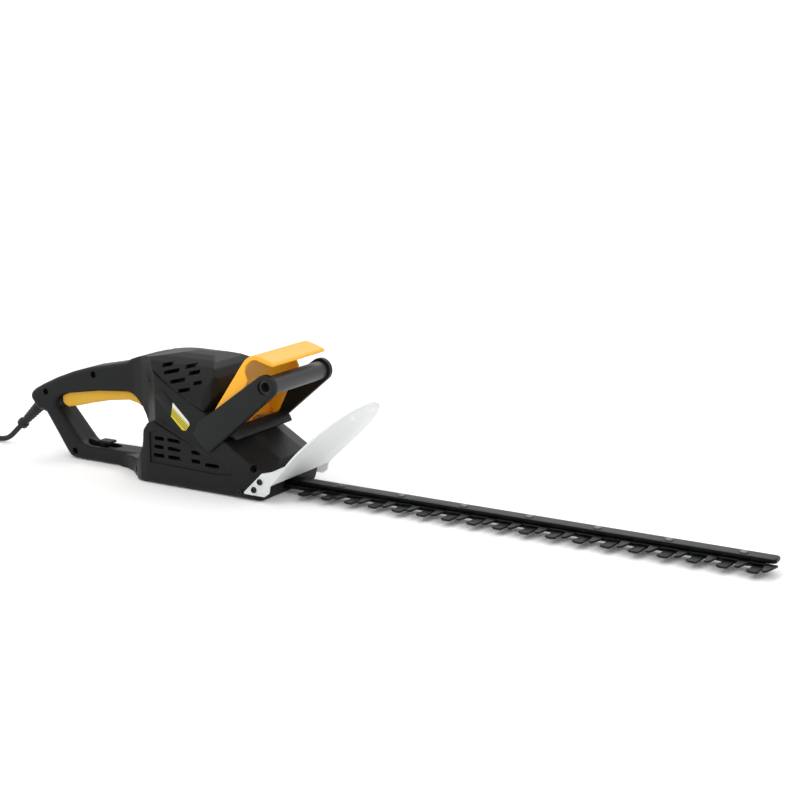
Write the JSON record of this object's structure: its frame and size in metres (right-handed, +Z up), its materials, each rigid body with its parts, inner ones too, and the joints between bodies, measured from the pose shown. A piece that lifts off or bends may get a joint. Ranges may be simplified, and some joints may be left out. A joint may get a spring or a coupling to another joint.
{
  "type": "hedge trimmer",
  "caption": "Corded electric hedge trimmer with a D-shaped rear grip, a front handle with a switch bar, a clear hand guard and a long reciprocating blade.",
  "frame": {"origin": "centre of the bounding box's bottom face, on the surface the tool rests on", "axes": "+X forward along the blade, +Y to the tool's left, +Z up"},
  "size_m": [1.1658, 0.1635, 0.162],
  "materials": {
    "black": "matt moulded black",
    "tube": "satin dark grey",
    "yellow": "satin warm yellow",
    "clear": "clear, slightly milky",
    "label": "printed film",
    "screw_steel": "bright steel",
    "dark_screws": "blackened steel",
    "spring_steel": "spring steel",
    "gear_steel": "cut steel",
    "blade_steel": "blackened blade steel",
    "cast": "die cast",
    "plate": "black coated sheet",
    "dark_plastic": "black plastic",
    "red_plastic": "red plastic",
    "film": "yellow resin",
    "iron": "stacked iron sheets",
    "copper": "enamelled copper",
    "carbon": "pressed carbon",
    "cord_rubber": "matt rubber",
    "plug_rubber": "matt rubber"
  },
  "bodies": {
    "housing": {"housing_left": "black", "housing_right": "black", "top_cover": "black", "handle_bow": "black", "cord_hook": "black", "handle_tube": "tube", "guard": "clear", "label_left": "label", "label_right": "label", "tube_screws": "screw_steel", "bow_screws": "screw_steel", "housing_screws": "screw_steel", "bar_axle": "screw_steel", "trigger_pin": "screw_steel", "gear_pin": "screw_steel", "plug_pins": "screw_steel", "bar_rivets": "screw_steel", "bar_bolts": "screw_steel", "bolt_nuts": "screw_steel", "guard_screws": "dark_screws", "base_screws": "dark_screws", "cover_screws": "dark_screws", "bar_spring": "spring_steel", "trigger_spring": "spring_steel", "motor_bearings": "gear_steel", "guide_bar": "blade_steel", "gear_case": "cast", "gear_cover": "cast", "base_plate": "plate", "front_switch": "dark_plastic", "rear_switch": "dark_plastic", "motor_frame": "dark_plastic", "capacitor": "film", "stator": "iron", "field_coils": "copper", "brushes": "carbon", "cord_sleeve": "cord_rubber", "cord": "cord_rubber", "plug_body": "plug_rubber"},
    "switch_bar": {"switch_bar": "yellow"},
    "front_button": {"front_button": "red_plastic"},
    "trigger": {"trigger": "yellow"},
    "rear_button": {"rear_button": "red_plastic"},
    "gear": {"gear_wheel": "gear_steel", "eccentric": "gear_steel"},
    "rotor": {"pinion": "gear_steel", "motor_shaft": "screw_steel", "rotor_core": "iron", "rotor_windings": "copper", "commutator": "copper", "fan": "dark_plastic"},
    "upper_blade": {"upper_blade": "blade_steel"},
    "lower_blade": {"lower_blade": "blade_steel"}
  },
  "joints": [
    {"name": "bar_swing", "type": "hinge", "parent": "housing", "child": "switch_bar", "pos_m": [-0.132, 0, 0.073], "axis": [0, 1, 0], "range_deg": [0, 6], "stiffness_Nm_per_rad": 6, "springref_deg": -4.58},
    {"name": "front_press", "type": "slide", "parent": "housing", "child": "front_button", "axis": [-1, 0, 0], "range_m": [0, 0.0023]},
    {"name": "trigger_pull", "type": "hinge", "parent": "housing", "child": "trigger", "pos_m": [-0.393, 0, 0.0803], "axis": [0, -1, 0], "range_deg": [0, 4.5], "stiffness_Nm_per_rad": 5, "springref_deg": -4.58, "deforming": ["trigger_spring"]},
    {"name": "rear_press", "type": "slide", "parent": "housing", "child": "rear_button", "axis": [0, 0, 1], "range_m": [0, 0.0062]},
    {"name": "gear_spin", "type": "hinge", "parent": "housing", "child": "gear", "pos_m": [-0.1575, 0, 0.028], "axis": [0, 0, 1], "continuous": true},
    {"name": "rotor_spin", "type": "hinge", "parent": "housing", "child": "rotor", "pos_m": [-0.2043, 0, 0.028], "axis": [0, 0, 1], "continuous": true},
    {"name": "lower_slide", "type": "slide", "parent": "housing", "child": "lower_blade", "axis": [1, 0, 0], "range_m": [-0.007, 0.007]},
    {"name": "upper_slide", "type": "slide", "parent": "housing", "child": "upper_blade", "axis": [1, 0, 0], "range_m": [-0.007, 0.007]}
  ],
  "couplings": [
    {"joint": "front_press", "follows": "bar_swing", "m_per_rad": 0.021},
    {"joint": "rear_press", "follows": "trigger_pull", "m_per_rad": 0.078},
    {"joint": "rotor_spin", "follows": "gear_spin", "ratio": -5},
    {"joint": "upper_slide", "follows": "lower_slide", "ratio": -1}
  ]
}
